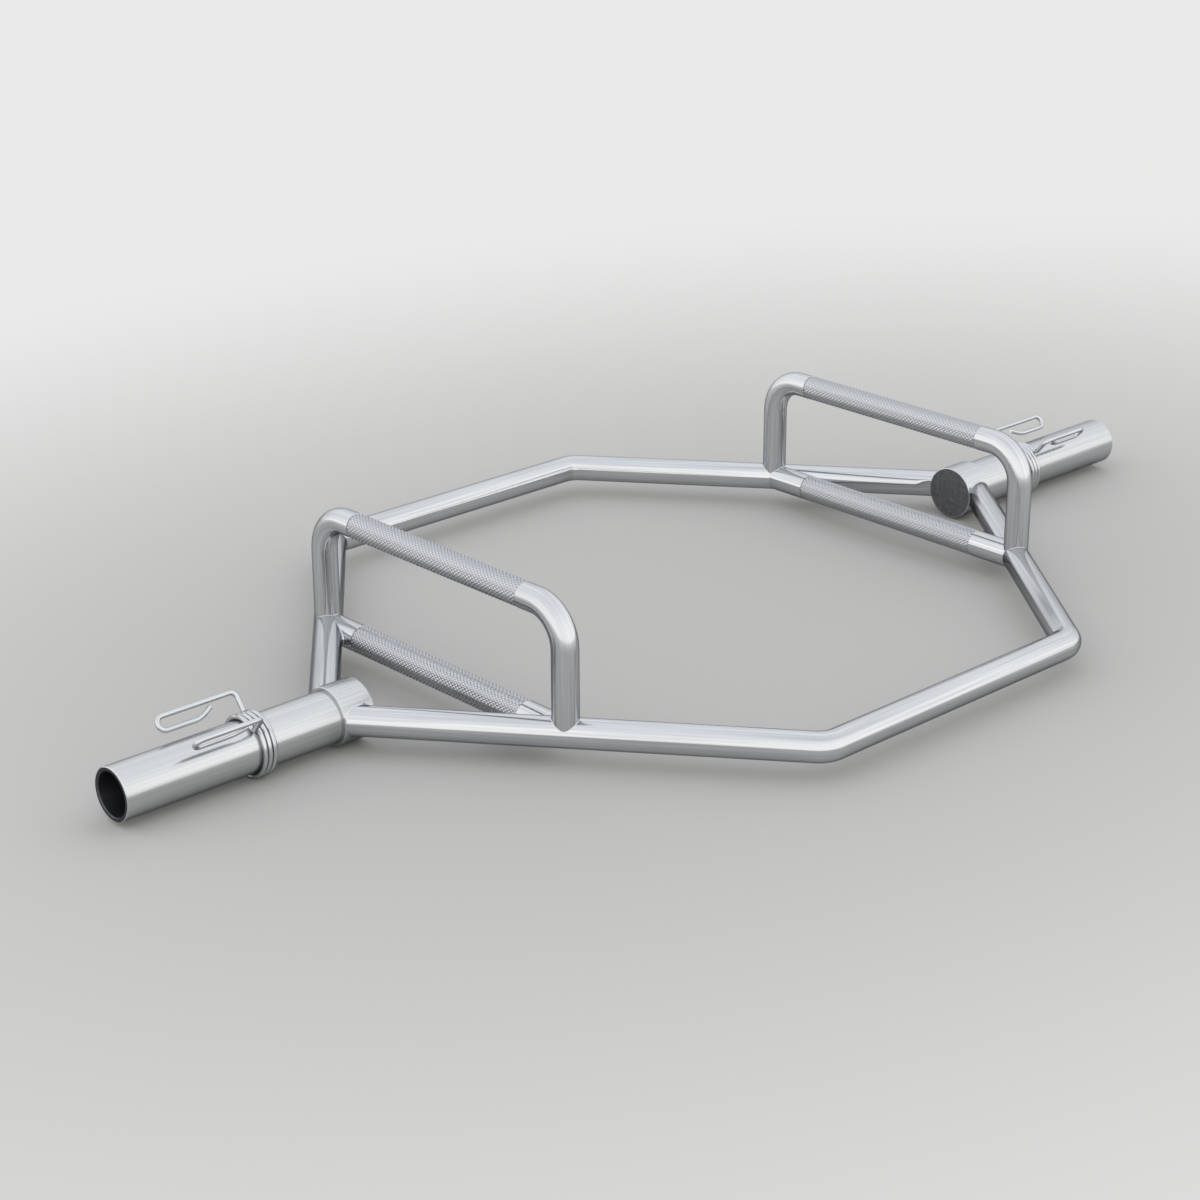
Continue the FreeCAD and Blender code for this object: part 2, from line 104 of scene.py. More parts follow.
# The UV map that runs along a tube and round it.
GRAIN_MAP = "along_and_round"


def plated_steel(name, colours, roughness, coordinates, streak_mm, stretch=SHEEN_STRETCH):
    """Chrome plate with streaks. Coordinates UV are for a drawn tube, Object for a solid turned about X."""
    material = bpy.data.materials.new(name)
    material.use_nodes = True
    tree = material.node_tree
    shader = tree.nodes["Principled BSDF"]
    shader.inputs["Metallic"].default_value = 1.0
    shader.inputs["Specular Tint"].default_value = linear(EDGE_TINT)
    shader.inputs["Anisotropic"].default_value = stretch
    if coordinates == "UV":
        tangent = add_node(tree, "ShaderNodeTangent", direction_type="UV_MAP", uv_map=GRAIN_MAP)
    else:
        # A radial tangent runs round the axis, and a quarter turn lays the highlight along the axis.
        tangent = add_node(tree, "ShaderNodeTangent", direction_type="RADIAL", axis="X")
        shader.inputs["Anisotropic Rotation"].default_value = 0.25
    tree.links.new(tangent.outputs["Tangent"], shader.inputs["Tangent"])
    # The texture coordinates are metres, so 1000 divided by a size in mm makes one cell of noise that large.
    where = add_node(tree, "ShaderNodeTexCoord").outputs[coordinates]
    scale = [1000.0 / size for size in streak_mm]
    fine = add_node(tree, "ShaderNodeMapping", {"Vector": where, "Scale": scale})
    noise = add_node(tree, "ShaderNodeTexNoise", {"Vector": fine.outputs[0], "Scale": 1.0, "Detail": 3.0})
    streaks = add_node(tree, "ShaderNodeMapRange", {"Value": noise.outputs["Fac"], **NOISE_MIDDLE})
    dark, light = (linear(colour) for colour in colours)
    colour = add_node(tree, "ShaderNodeMix", {
        "Factor": streaks.outputs["Result"], "A": dark, "B": light}, data_type="RGBA")
    tree.links.new(colour.outputs["Result"], shader.inputs["Base Color"])
    patches = add_node(tree, "ShaderNodeTexNoise", {
        "Vector": where, "Scale": 1000.0 / PATCH_MM, "Detail": 2.0})
    gloss = add_node(tree, "ShaderNodeMapRange", {
        "Value": patches.outputs["Fac"], **NOISE_MIDDLE,
        "To Min": roughness * PATCH_BRIGHT, "To Max": roughness * PATCH_DULL})
    tree.links.new(gloss.outputs["Result"], shader.inputs["Roughness"])
    return material


# %% Polished chrome for the tubes
# A nearly clean mirror: bright and dark bands of sky and floor run along each tube.
# The real streaks are about 0.1 mm wide, too fine for the picture, so they are drawn 3 mm wide.
TUBE_STREAK = (180.0, 3.0, 180.0)
BRIGHT = ("#BABCBF", "#D3D5D7")
polished_chrome = plated_steel(
    "polished_chrome_tube", BRIGHT, roughness=0.15, coordinates="UV", streak_mm=TUBE_STREAK)
print("made", polished_chrome.name)

# %% [markdown]
# ## Drawing a tube
# A tube is a ring of points carried along a path. Every ring is turned so that one of its points keeps to
# the same side, which stops the skin from twisting. Blender could bevel a curve instead, but here the ends
# have to be cut to the shape of the tube that they are welded to, so the rings are kept as points until they
# are right.


# %% Points along a bend
def unit(vectors):
    """Vectors of the same heading and of length 1."""
    vectors = np.asarray(vectors, float)
    return vectors / np.linalg.norm(vectors, axis=-1, keepdims=True)


def arc(centre, start, end, first, last, step=4.0):
    """Points on an arc, where start and end are the perpendicular radii at 0 and 90 degrees."""
    centre, start, end = (np.asarray(v) for v in (centre, start, end))
    turns = np.radians(np.linspace(first, last, max(2, round(abs(last - first) / step) + 1)))
    return [centre + start * math.cos(t) + end * math.sin(t) for t in turns]


print("a quarter bend has", len(arc((0, 0, 0), (1, 0, 0), (0, 1, 0), 0, 90)), "points")


# %% Rings round a path
def sweep(path, radius, side, corners=48):
    """Rings of points round a path; side is the way that the first point of each ring faces."""
    path = np.asarray(path, float)
    steps = unit(np.diff(path, axis=0))
    along = unit(np.vstack([steps[:1], steps[:-1] + steps[1:], steps[-1:]]))
    side = np.asarray(side, float)
    first = unit(side - (along @ side)[:, None] * along)
    second = np.cross(along, first)
    turn = np.linspace(0, 2 * math.pi, corners, endpoint=False)
    spokes = first[:, None] * np.cos(turn)[:, None] + second[:, None] * np.sin(turn)[:, None]
    return path[:, None] + spokes * np.broadcast_to(radius, len(path))[:, None, None]


print("a ring has", sweep([(0, 0, 0), (0, 0, 1)], 1.0, (1, 0, 0)).shape[1], "points")

# %% [markdown]
# ## A skin over the rings
# Neighbouring rings are joined by four-sided faces, and the two ends are closed by fans of triangles, so
# that each mesh is a closed body. The UV map runs in metres along the tube and round it, which lets the grain
# follow the bends. Faces are shaded smooth, except across edges that are as sharp as the rim of an end.

# %% A mesh over rings
# Points are millimetres until a mesh is made. Blender's meshes are in metres.
MM = 0.001
CREASE = math.radians(35)


def skin(name, rings, closed=False):
    """A mesh over rings of points in mm: capped at both ends, or joined into a loop."""
    rings = np.asarray(rings, float)
    count, corners = rings.shape[:2]
    points = rings.reshape(-1, 3)
    middles = rings.mean(axis=1)
    gaps = np.linalg.norm(np.diff(np.vstack([middles, middles[:1]]), axis=0), axis=1)
    run = np.concatenate([[0.0], np.cumsum(gaps)]) * MM
    girth = np.linalg.norm(np.diff(np.vstack([rings[0], rings[0][:1]]), axis=0), axis=1).sum() * MM
    faces, places = [], []
    for i in range(count if closed else count - 1):
        for j in range(corners):
            k, after = (j + 1) % corners, (i + 1) % count
            faces.append((i * corners + j, i * corners + k, after * corners + k, after * corners + j))
            low, high = girth * j / corners, girth * (j + 1) / corners
            places += [(run[i], low), (run[i], high), (run[i + 1], high), (run[i + 1], low)]
    if not closed:
        points = np.vstack([points, middles[0], middles[-1]])
        for ring, centre in ((0, len(points) - 2), (count - 1, len(points) - 1)):
            for j in range(corners):
                pair = [ring * corners + (j + 1) % corners, ring * corners + j]
                faces.append((centre, *(pair if ring == 0 else pair[::-1])))
                low, high = girth * j / corners, girth * (j + 1) / corners
                places += [(run[ring], 0.0), (run[ring], low), (run[ring], high)]
    mesh = bpy.data.meshes.new(name)
    mesh.from_pydata((points * MM).tolist(), [], faces)
    layer = mesh.uv_layers.new(name=GRAIN_MAP)
    layer.data.foreach_set("uv", np.array(places, np.float32).ravel())
    mesh.polygons.foreach_set("use_smooth", [True] * len(mesh.polygons))
    mesh.set_sharp_from_angle(angle=CREASE)
    return mesh


print("edges stay sharp from", round(math.degrees(CREASE)), "degrees")


# %% A piece in the scene
def new_piece(name, mesh, material):
    """A visible piece in the scene, with its finish."""
    piece = bpy.data.objects.new(name, mesh)
    bpy.context.scene.collection.objects.link(piece)
    mesh.materials.append(material)
    return piece


# %% [markdown]
# ## Sizes of the frame
# Lengths on the bar are millimetres in the part's own frame: X runs from sleeve to sleeve, Y along the grips
# and Z up from the floor. The box round a solid gives its reach, but not the radius of a tube or of a bend,
# so the sizes that the solids were built from are repeated here. The slanted runs of the hexagon point at
# the bar's axis, so their slope follows from the corners that they leave and from where they land on the
# hubs.

# %% Sizes of the frame
AXIS_Z = 29.5
HUB_R = 28.25
HUB_INNER, HUB_OUTER = 415.0, 449.5
FRAME_R = 14.3
CORNER_X, CORNER_Y, CORNER_BEND = 170.0, 353.0, 24.0
LANDING = 19.0
LANDING_X = HUB_OUTER - LANDING
RUN_SLOPE = (LANDING_X - CORNER_X) / (CORNER_Y - HUB_R)
APEX_X = LANDING_X + HUB_R * RUN_SLOPE
RUN_DIR = np.array([RUN_SLOPE, -1.0, 0.0]) / math.hypot(RUN_SLOPE, 1.0)
print(f"the slanted runs meet on the bar's axis at x {APEX_X:.1f} mm")

# %% [markdown]
# ## The frame tubes
# Each half of the hexagon is one tube with two bends, and its slanted ends are cut to fit the round side of
# the hubs. A boolean could cut them, but it leaves long thin faces that spoil the shine. So the cut is worked
# out for each point of the end ring: the point slides along the tube until it meets the hub, whose side lies
# at a known distance from the bar's axis. At its widest the tube would stand out past the hub's inner end, so
# there its last few millimetres are drawn in, as if dressed flush with the end.


# %% The centre line of half the frame
def frame_path(front):
    """The centre line of half the hexagon; front is -1 for the front half and 1 for the rear half."""
    turn = math.degrees(math.atan2(CORNER_Y, APEX_X - CORNER_X))
    tangent = CORNER_BEND * math.tan(math.radians(turn / 2))
    centre = np.array([CORNER_X - tangent, front * (CORNER_Y - CORNER_BEND), AXIS_Z])
    outward = np.array([0.0, front * CORNER_BEND, 0.0])
    bend = arc(centre, outward, np.array([CORNER_BEND, 0.0, 0.0]), 0, turn)
    half = bend + [np.array([APEX_X, 0.0, AXIS_Z])]
    return [p * (-1, 1, 1) for p in half[::-1]] + half


print("half the frame's centre line has", len(frame_path(1)), "points")

# %% Ends that fit the hubs
# The dressed ends stop on the rounded rim of the hub's inner end.
RIM_INSET = 0.8
RIM_X = HUB_INNER + RIM_INSET
# The dressing starts this far from the hub and takes this many rings.
DRESSED, DRESSED_RINGS = 16.0, 9


def cope_to_hub(points, way, front):
    """Slide points of a slanted run along it onto the side of the hub."""
    y = front * np.sqrt(HUB_R ** 2 - (points[:, 2] - AXIS_Z) ** 2)
    return points + ((y - points[:, 1]) / way[1])[:, None] * way


def dress(points, way, front):
    """Draw points of a slanted run in where it stands out past the hub's inner end."""
    landed = cope_to_hub(points, way, front)
    proud = np.maximum(RIM_X - np.abs(landed[:, 0]), 0.0)
    away = np.clip(np.linalg.norm(landed - points, axis=1) / DRESSED, 0.0, 1.0)
    shift = proud * (0.5 + 0.5 * np.cos(math.pi * away))
    return points + (np.sign(way[0]) * shift)[:, None] * (1, 0, 0)


def dressed_end(ring, way, front):
    """The last rings of a tube, from a little way off the hub to its side."""
    landed = cope_to_hub(ring, way, front)
    return [dress(landed - way * off, way, front) for off in np.linspace(DRESSED, 0.0, DRESSED_RINGS)]


print("the ends are dressed back to x", RIM_X, "mm")

# %% Front and rear frame tubes
for label, front in (("front", -1), ("rear", 1)):
    rings = sweep(frame_path(front), FRAME_R, (0, 0, 1))
    left_end = dressed_end(rings[0], RUN_DIR * (-1, front, 1), front)[::-1]
    right_end = dressed_end(rings[-1], RUN_DIR * (1, front, 1), front)
    rings = [*left_end, *rings[1:-1], *right_end]
    tube = new_piece(f"{label}_frame", skin(f"{label}_frame", rings), polished_chrome)
    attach(tube, "bar")
    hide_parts(f"{label}_frame_tube")
    print(tube.name, len(tube.data.vertices), "points")

# %% [markdown]
# ## The handles
# The low handle is a straight tube between two slanted runs. The high one is bent from one tube and stands
# on the same two places. Both are cut at their ends to sit on the tubes below, which is worked out point by
# point as for the frame. Under the knurling the tube is drawn a little thinner, with a small shoulder at
# each end, to leave room for the teeth.

# %% Where the handles stand
HANDLE_X = 315.0
FOOT_Y = (APEX_X - HANDLE_X) / RUN_SLOPE
LOW_R, HIGH_R = 13.75, 12.7
HIGH_RISE, HIGH_BEND = 116.3, 37.0
HIGH_Z = AXIS_Z + HIGH_RISE


def run_axis_y(x):
    """How far behind or in front of the bar's axis a slanted run passes, at x from the bar's middle."""
    return (APEX_X - np.abs(x)) / RUN_SLOPE


def height_over_run(points, reach=0.0):
    """Height of a slanted run's top at each point; a reach makes the run that much thicker."""
    across = (np.abs(points[:, 1]) - run_axis_y(points[:, 0])) * RUN_DIR[0]
    return AXIS_Z + np.sqrt(np.maximum((FRAME_R + reach) ** 2 - across ** 2, 0.0))


def height_over_low(points, reach=0.0):
    """Height of the low handle's top at each point; past the handle's end it is the floor."""
    across = np.abs(points[:, 0]) - HANDLE_X
    top = AXIS_Z + np.sqrt(np.maximum((LOW_R + reach) ** 2 - across ** 2, 0.0))
    return np.where(np.abs(points[:, 1]) < FOOT_Y, top, 0.0)


print(f"the handles stand {FOOT_Y:.1f} mm in front of and behind the bar's axis")

# %% The stretch under the knurling
KNURL_HALF = 120.0
# How much thinner the tube is there, and how long the step down to it is.
KNURL_ROOM, SHOULDER = 0.6, 0.2


def grip_rows(x, z, radius):
    """The stretch under the knurling, as points with a radius each."""
    ends = ((-1, 0), (-1, 1), (1, 1), (1, 0))
    return [((x, way * (KNURL_HALF - SHOULDER * thin), z), radius - KNURL_ROOM * thin) for way, thin in ends]


def handle_rings(rows, s):
    """Rings for rows of points with a radius each; their first point faces away from the lifter."""
    return sweep([p for p, _ in rows], [r for _, r in rows], (s, 0, 0))


print("the knurling is", 2 * KNURL_HALF, "mm long")


# %% Low handles
def draw_low_handle(side, s):
    """A straight tube whose ends fit the sides of the slanted runs."""
    x = s * HANDLE_X
    rows = [((x, -FOOT_Y, AXIS_Z), LOW_R), *grip_rows(x, AXIS_Z, LOW_R), ((x, FOOT_Y, AXIS_Z), LOW_R)]
    rings = handle_rings(rows, s)
    for end, way in ((0, -1), (-1, 1)):
        reach = np.sqrt(FRAME_R ** 2 - (rings[end][:, 2] - AXIS_Z) ** 2) / RUN_DIR[0]
        rings[end][:, 1] = way * (run_axis_y(rings[end][:, 0]) - reach)
    low_tube = new_piece(f"{side}_low_grip_tube", skin("low_grip_tube", rings), polished_chrome)
    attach(low_tube, "bar")
    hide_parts(f"{side}_low_handle")
    print(low_tube.name, len(low_tube.data.vertices), "points")


print(f"a low handle is {2 * (FOOT_Y - FRAME_R / RUN_DIR[0]):.0f} mm long between the runs")


# %% High handles
def draw_high_handle(side, s):
    """A bent tube whose feet fit the slanted runs and the ends of the low handle."""
    x = s * HANDLE_X
    up, back = (0, 0, HIGH_BEND), (0, HIGH_BEND, 0)
    knee = np.array([x, FOOT_Y - HIGH_BEND, HIGH_Z - HIGH_BEND])
    front_bend = arc(knee * (1, -1, 1), np.negative(back), up, 0, 90)
    rear_bend = arc(knee, up, back, 0, 90)
    rows = [((x, -FOOT_Y, AXIS_Z), HIGH_R), *((p, HIGH_R) for p in front_bend)]
    rows += grip_rows(x, HIGH_Z, HIGH_R)
    rows += [*((p, HIGH_R) for p in rear_bend), ((x, FOOT_Y, AXIS_Z), HIGH_R)]
    rings = handle_rings(rows, s)
    for end in (0, -1):
        rings[end][:, 2] = np.maximum(height_over_run(rings[end]), height_over_low(rings[end]))
    high_tube = new_piece(f"{side}_high_grip_tube", skin("high_grip_tube", rings), polished_chrome)
    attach(high_tube, "bar")
    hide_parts(f"{side}_high_handle")
    print(high_tube.name, len(high_tube.data.vertices), "points")


SIDES = (("left", -1), ("right", 1))
for side, s in SIDES:
    draw_low_handle(side, s)
    draw_high_handle(side, s)

# %% [markdown]
# ## The finish of the knurling
# The plate wears bright on the tips of the knurling, and its valleys are drawn darker: partly dust, partly
# painted shade in the grooves. A single grey would lose that, so the height of each point of the teeth is
# kept with the mesh, and the material reads it.

# %% Knurled chrome
# Bright specks on a greyer ground, which from further off read as a dull band between the smooth ends.
# The valley colour is dust and painted shade in the grooves; the tip colour is the worn plate.
VALLEY_DUST_AND_SHADE, TIP = "#A0A2A6", "#D8DADD"
VALLEY_ROUGHNESS, TIP_ROUGHNESS = 0.32, 0.19


def knurled_steel(name):
    """Chrome plate over knurling: bright worn tips, and valleys darkened by dust and painted shade."""
    material = bpy.data.materials.new(name)
    material.use_nodes = True
    tree = material.node_tree
    shader = tree.nodes["Principled BSDF"]
    shader.inputs["Metallic"].default_value = 1.0
    shader.inputs["Specular Tint"].default_value = linear(EDGE_TINT)
    height = add_node(tree, "ShaderNodeAttribute", attribute_name="tooth").outputs["Fac"]
    colour = add_node(tree, "ShaderNodeMix", {
        "Factor": height, "A": linear(VALLEY_DUST_AND_SHADE), "B": linear(TIP)}, data_type="RGBA")
    tree.links.new(colour.outputs["Result"], shader.inputs["Base Color"])
    gloss = add_node(tree, "ShaderNodeMapRange", {
        "Value": height, "To Min": VALLEY_ROUGHNESS, "To Max": TIP_ROUGHNESS})
    tree.links.new(gloss.outputs["Result"], shader.inputs["Roughness"])
    return material


knurled_chrome = knurled_steel("knurled_chrome_grip")
print("made", knurled_chrome.name)

# %% [markdown]
# ## Knurling
# A knurling tool rolls two sets of slanted grooves into the grip and leaves rows of small pyramids. A bump
# map could fake them, but the outline and the exported mesh would stay smooth, so the teeth are real faces
# here. The points of a fine grid are tips and valleys in turn, as on a chessboard, and each square is split
# from valley to valley, which raises a four-sided tooth on every tip.

# %% Teeth
# A common grip has teeth about 1.5 mm wide; these are drawn 3.6 mm wide and 4.8 mm long, so that they show.
TOOTH_WIDTH, TOOTH_LENGTH = 3.6, 4.8
TOOTH_HEIGHT = 0.4


def knurl_mesh(name, x, z, radius):
    """A closed shell of teeth round a grip, from its shoulder at one end to the other."""
    columns = 2 * round(2 * math.pi * radius / TOOTH_WIDTH)
    ring_count = 2 * round(2 * KNURL_HALF / TOOTH_LENGTH) + 1
    turn = np.linspace(0, 2 * math.pi, columns, endpoint=False)
    along = np.linspace(-KNURL_HALF, KNURL_HALF, ring_count)
    tip = (np.add.outer(np.arange(ring_count), np.arange(columns)) % 2 == 0).astype(float)
    tip[[0, -1]] = 0.0
    reach = radius - TOOTH_HEIGHT * (1 - tip)
    # Two more rings lie against the thinner tube and close the shell from inside.
    reach = np.vstack([reach, np.full((2, columns), radius - KNURL_ROOM)])
    along = np.concatenate([along, [KNURL_HALF, -KNURL_HALF]])
    rows = np.broadcast_to(along[:, None], reach.shape)
    points = np.stack([x + reach * np.cos(turn), rows, z + reach * np.sin(turn)], axis=-1)
    faces = []
    for i in range(len(along)):
        for j in range(columns):
            after, k = (i + 1) % len(along), (j + 1) % columns
            a, b = i * columns + j, i * columns + k
            c, d = after * columns + k, after * columns + j
            if i >= ring_count - 1:
                faces.append((a, d, c, b))
            elif (i + j) % 2 == 0:
                faces += [(a, d, b), (d, c, b)]
            else:
                faces += [(a, d, c), (a, c, b)]
    mesh = bpy.data.meshes.new(name)
    mesh.from_pydata((points.reshape(-1, 3) * MM).tolist(), [], faces)
    tooth = mesh.attributes.new("tooth", "FLOAT", "POINT")
    heights = np.concatenate([tip.ravel(), np.zeros(2 * columns)])
    tooth.data.foreach_set("value", heights.astype(np.float32))
    return mesh


print("teeth of", TOOTH_WIDTH, "by", TOOTH_LENGTH, "mm,", TOOTH_HEIGHT, "mm high")

# %% Knurled grips
for side, s in SIDES:
    for level, z, radius in (("low", AXIS_Z, LOW_R), ("high", HIGH_Z, HIGH_R)):
        mesh = knurl_mesh(f"{level}_knurl", s * HANDLE_X, z, radius)
        knurl = new_piece(f"{side}_{level}_knurl", mesh, knurled_chrome)
        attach(knurl, "bar")
        print(knurl.name, len(mesh.polygons), "faces")

# %% [markdown]
# ## Welded joints
# The joints are welded, ground smooth and plated, so they show as small hollow curves. Such a curve is where
# a ball would roll along the corner between two tubes: its centre keeps one ball radius away from both, and
# the weld's surface is the part of the ball that faces the corner. So each weld is a closed strip of short
# arcs. Blender's bevel can't do this here, because the tubes are separate meshes that share no edge.

# %% A weld as a strip of arcs
# Degrees from arc to arc round a weld, and the steps along each arc.
WELD_STEP, ARC_STEPS = 2.5, 12
AROUND = np.radians(np.arange(0, 360, WELD_STEP))


def weld_strip(centres, branch, main):
    """Arcs from the branch tube to the main one about each ball centre, with the hidden corner behind."""
    a, b = unit(branch - centres), unit(main - centres)
    near, far = (np.linalg.norm(p - centres, axis=1)[:, None] for p in (branch, main))
    angle = np.arccos(np.clip(np.sum(a * b, axis=1), -1, 1))[:, None]
    arcs = []
    for t in np.linspace(0, 1, ARC_STEPS + 1):
        heading = (a * np.sin((1 - t) * angle) + b * np.sin(t * angle)) / np.sin(angle)
        arcs.append(centres + heading * (near + (far - near) * t))
    return np.stack([*arcs, branch + main - centres], axis=1)


def face_outward(mesh):
    """Turn the faces of a closed mesh outward: a mirrored strip comes out with its inside showing."""
    shape = bmesh.new()
    shape.from_mesh(mesh)
    bmesh.ops.recalc_face_normals(shape, faces=shape.faces)
    shape.to_mesh(mesh)
    shape.free()


def add_weld(name, strip, node):
    """A weld in the scene, in place of a group of the solids' welds."""
    mesh = skin(name, strip, closed=True)
    face_outward(mesh)
    weld = new_piece(name, mesh, polished_chrome)
    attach(weld, "bar")
    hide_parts(node)


print("each weld has", len(AROUND), "arcs")

# %% [markdown]
# ### At the hubs
# A frame tube lands near the hub's inner rim, and there is no corner left to fill where it ends at the rim.
# So the weld shrinks on its way there and sinks into the tube, and it runs out in a point.

# %% Hub welds
HUB_BALL = 3.0
# The weld keeps this far from the hub's outer end.
HUB_EDGE = 1.5
# It begins to shrink this far before the rim, and is smallest as far past it.
TAPER = 8.0
# It shrinks towards a line this deep in the tube, and goes this share of the way.
SINK, MOST_SUNK = 1.5, 0.85


def hub_weld(s, front):
    """Between a frame tube and a hub."""
    along = RUN_DIR * (s, front, 1)
    sideways = np.cross(along, (0, 0, 1))
    spoke = np.cos(AROUND)[:, None] * (0, 0, 1) + np.sin(AROUND)[:, None] * sideways
    centres = np.array([s * APEX_X, 0, AXIS_Z]) + spoke * (FRAME_R + HUB_BALL)
    y = front * np.sqrt((HUB_R + HUB_BALL) ** 2 - (centres[:, 2] - AXIS_Z) ** 2)
    centres += ((y - centres[:, 1]) / along[1])[:, None] * along
    out = unit((centres - (0, 0, AXIS_Z)) * (0, 1, 1))
    main = centres - out * HUB_BALL
    past_rim = RIM_X - s * main[:, 0]
    main[:, 0] = s * np.clip(s * main[:, 0], RIM_X, HUB_OUTER - HUB_EDGE)
    branch = centres - spoke * HUB_BALL
    drawn_in = dress(branch, along, front)
    strip = weld_strip(centres + drawn_in - branch, drawn_in, main)
    sunk = dress(cope_to_hub(branch, along, front), along, front) + along * SINK - spoke * SINK
    fade = np.clip((past_rim + TAPER) / (2 * TAPER), 0.0, 1.0)
    fade = MOST_SUNK * fade ** 2 * (3 - 2 * fade)
    return strip + (sunk[:, None] - strip) * fade[:, None, None]


print("hub welds run out over", 2 * TAPER, "mm")

# %% [markdown]
# ### At the handles
# The low handles meet the slanted runs at an angle. The posts of the high handles stand on the slanted run
# and on the end of the low handle at once: the ball lies on whichever is higher, and its way out is blended
# from one to the other, so that the weld crosses from tube to tube without a step.

# %% Handle welds
LOW_BALL, POST_BALL = 1.2, 0.8
# A post's weld changes tubes where their heights differ by about this much.
CROSSING = 0.7


def low_weld(s, front):
    """Between a low handle and a slanted run."""
    spoke = np.cos(AROUND)[:, None] * (1, 0, 0) + np.sin(AROUND)[:, None] * (0, 0, 1)
    centres = np.array([s * HANDLE_X, 0, AXIS_Z]) + spoke * (LOW_R + LOW_BALL)
    across = np.sqrt((FRAME_R + LOW_BALL) ** 2 - (centres[:, 2] - AXIS_Z) ** 2)
    centres[:, 1] = front * (run_axis_y(centres[:, 0]) - across / RUN_DIR[0])
    square = np.array([s * RUN_DIR[1], -front * RUN_DIR[0], 0.0])
    out = unit(across[:, None] * square + (centres - (0, 0, AXIS_Z)) * (0, 0, 1))
    return weld_strip(centres, centres - spoke * LOW_BALL, centres - out * LOW_BALL)


def post_weld(s, front):
    """Between a post of a high handle and the two tubes that it stands on."""
    spoke = np.cos(AROUND)[:, None] * (1, 0, 0) + np.sin(AROUND)[:, None] * (0, 1, 0)
    centres = np.array([s * HANDLE_X, front * FOOT_Y, 0]) + spoke * (HIGH_R + POST_BALL)
    over_run = height_over_run(centres, POST_BALL)
    over_low = height_over_low(centres, POST_BALL)
    share = 1 / (1 + np.exp((over_low - over_run) / CROSSING))
    centres[:, 2] = np.maximum(over_run, over_low)
    square = np.array([s * RUN_DIR[1], -front * RUN_DIR[0], 0.0])
    across = (run_axis_y(centres[:, 0]) - np.abs(centres[:, 1])) * RUN_DIR[0]
    rise = (centres[:, 2] - AXIS_Z)[:, None] * (0, 0, 1)
    from_run = unit(across[:, None] * square + rise)
    from_low = unit((centres[:, :1] - s * HANDLE_X) * (1, 0, 0) + rise)
    out = unit(share[:, None] * from_run + (1 - share)[:, None] * from_low)
    return weld_strip(centres, centres - spoke * POST_BALL, centres - out * POST_BALL)


print("handle welds have radii of", LOW_BALL, "and", POST_BALL, "mm")

# %% All welds
for side, s in SIDES:
    for label, front in (("front", -1), ("rear", 1)):
        add_weld(f"{side}_{label}_hub_weld", hub_weld(s, front), f"{side}_hub_welds")
        add_weld(f"{side}_{label}_low_weld", low_weld(s, front), f"{side}_low_handle_welds")
        add_weld(f"{side}_{label}_post_weld", post_weld(s, front), f"{side}_high_handle_welds")
    print(side, "welds drawn")

# %% [markdown]
# ## The clips
# Each clip is one length of spring wire: about three turns round the sleeve, whose ends stand up into two
# hairpins that are squeezed together with one hand. A screw modifier could wind the turns, but not the bent
# feet at both ends, so the whole centre line is drawn and swept like a tube.

# %% The centre line of a coil
WIRE_R = 2.35
COIL_R = 27.65
COIL_PITCH = 5.15
COIL_X = 524.5
COIL_TURNS = 3
REAR_ANGLE, FRONT_ANGLE = 50.0, 130.0 + COIL_TURNS * 360.0
COIL_STEP, STUB_STEP = 6.0, 10.0
STUB_BEND = 5.0
# Each end runs straight for one wire's width past its bend, and meets its arm there.
STUB_R = math.sqrt(COIL_R ** 2 + 2 * COIL_R * STUB_BEND) + 2 * WIRE_R


def polar(x, radius, angle):
    """A point about the sleeve's axis; the angle runs from the rear over the top to the front."""
    angle = math.radians(angle)
    return np.array([x, radius * math.cos(angle), AXIS_Z + radius * math.sin(angle)])


def coil_path(s):
    """Centre line from the rear arm's foot, round the sleeve, to the front arm's foot."""
    lead = math.degrees(math.asin(STUB_BEND / (COIL_R + STUB_BEND)))

    def place(angle):
        return s * (COIL_X + COIL_PITCH * (angle - REAR_ANGLE) / 360)

    def stub(angle, way):
        """The wire's end comes in along a radius and bends into the coil."""
        centre = polar(place(angle), COIL_R + STUB_BEND, angle + way * lead)
        start = polar(place(angle), 1.0, angle - way * 90) - polar(place(angle), 0.0, 0.0)
        end = polar(place(angle), 1.0, angle + 180) - polar(place(angle), 0.0, 0.0)
        bend = arc(centre, start * STUB_BEND, end * STUB_BEND, 0, 90 - lead, STUB_STEP)
        return [polar(place(angle), STUB_R, angle), *bend]

    turns = np.arange(REAR_ANGLE + lead, FRONT_ANGLE - lead, COIL_STEP)
    helix = [polar(place(a), COIL_R, a) for a in (*turns, FRONT_ANGLE - lead)]
    return stub(REAR_ANGLE, 1)[:-1] + helix + stub(FRONT_ANGLE, -1)[:-1][::-1]


print("a coil's centre line has", len(coil_path(1)), "points")

# %% [markdown]
# ## The springs
# The coil belongs to both arms of its clip. The bar lies on its two coils, which are a little flat
# underneath, so no point goes below the floor.

# %% Spring wire
# Wire drawn through a polished die is bright, with hairlines along it that soften its glints.
# The real hairlines are finer than 0.1 mm; they are drawn 0.6 mm wide.
WIRE_STREAK = (40.0, 0.6, 40.0)
spring_wire = plated_steel(
    "bright_drawn_spring_wire", BRIGHT, roughness=0.17, coordinates="UV", streak_mm=WIRE_STREAK)
print("made", spring_wire.name)

# %% Spring coils
WIRE_CORNERS = 20

for side, s in SIDES:
    rings = sweep(coil_path(s), WIRE_R, (1, 0, 0), WIRE_CORNERS)
    rings[:, :, 2] = np.maximum(rings[:, :, 2], 0.0)
    coil = new_piece(f"{side}_clip_spring", skin("clip_spring", rings), spring_wire)
    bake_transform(coil)
    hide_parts(f"{side}_clip_coil")
    print(coil.name, len(coil.data.vertices), "points")

